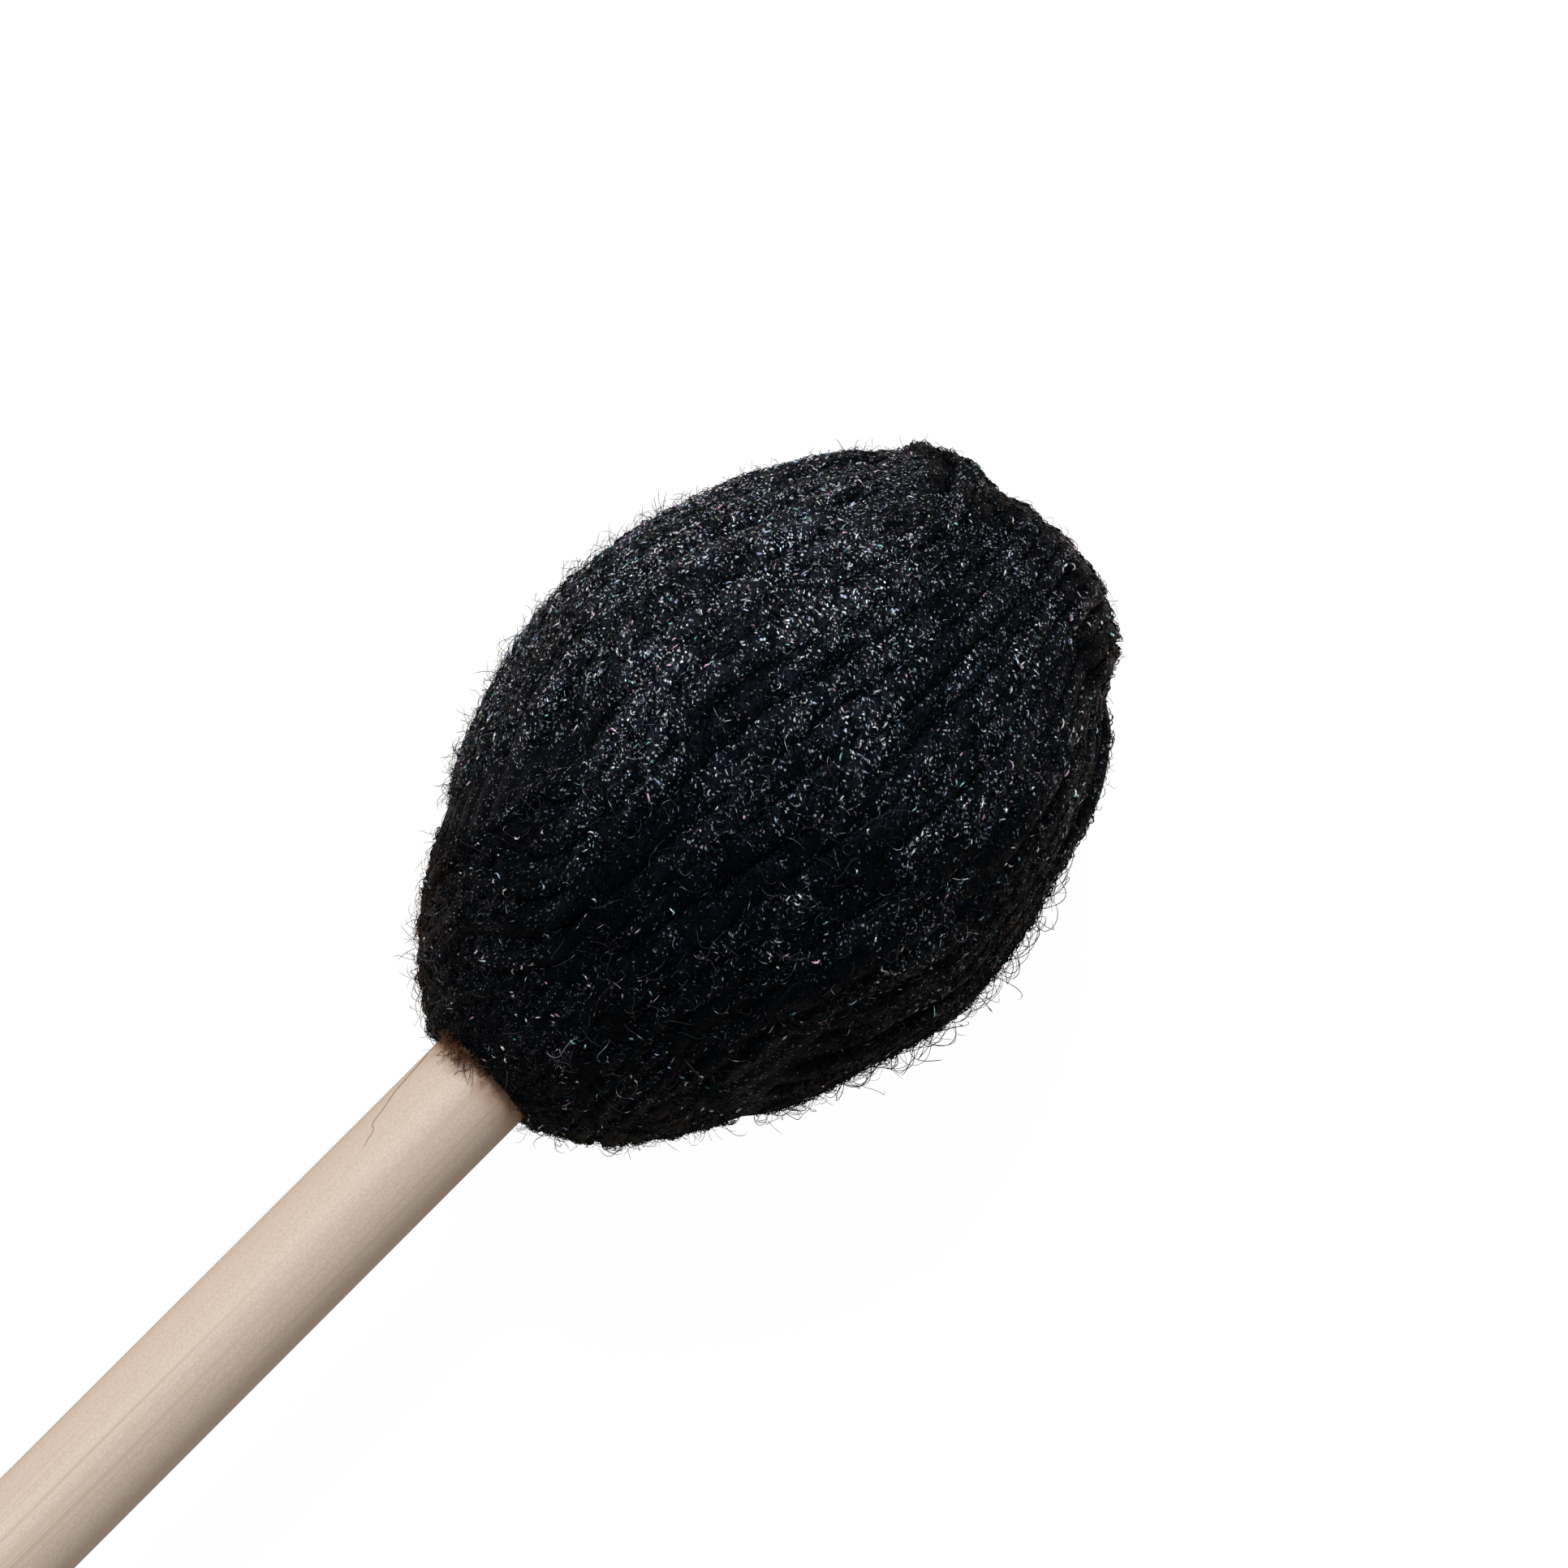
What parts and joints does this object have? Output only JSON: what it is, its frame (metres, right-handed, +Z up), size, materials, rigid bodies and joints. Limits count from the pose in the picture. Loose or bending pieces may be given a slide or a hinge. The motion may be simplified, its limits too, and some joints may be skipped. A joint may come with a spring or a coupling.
{
  "type": "yarn mallet",
  "caption": "Percussion mallet with a plain wooden handle and an oval head of dark yarn wound over a rubber core, lying at rest.",
  "frame": {"origin": "on the surface that the mallet lies on, under the middle of its box", "axes": "+Z up, +X along the mallet's length toward the head's crown. The mallet's own axis rises 2.29 degrees toward the head, because the head and the handle's butt both touch Z = 0. The yarn is pressed 0.6 mm flat where the head lies."},
  "size_m": [0.4194, 0.0402, 0.0399],
  "materials": {
    "handle_wood": "plain pale birch dowel, sanded, thin satin sealer",
    "core_rubber": "moulded, matt",
    "under_yarn": "wound yarn, near black",
    "yarn": "soft wound yarn, near black, fuzzy",
    "thread": "twisted stitching thread, near black"
  },
  "bodies": {
    "root": {"handle": "handle_wood", "rubber_core": "core_rubber", "inner_winding": "under_yarn", "outer_winding": "yarn", "crown_stitch": "thread", "neck_stitch": "thread"}
  },
  "joints": []
}
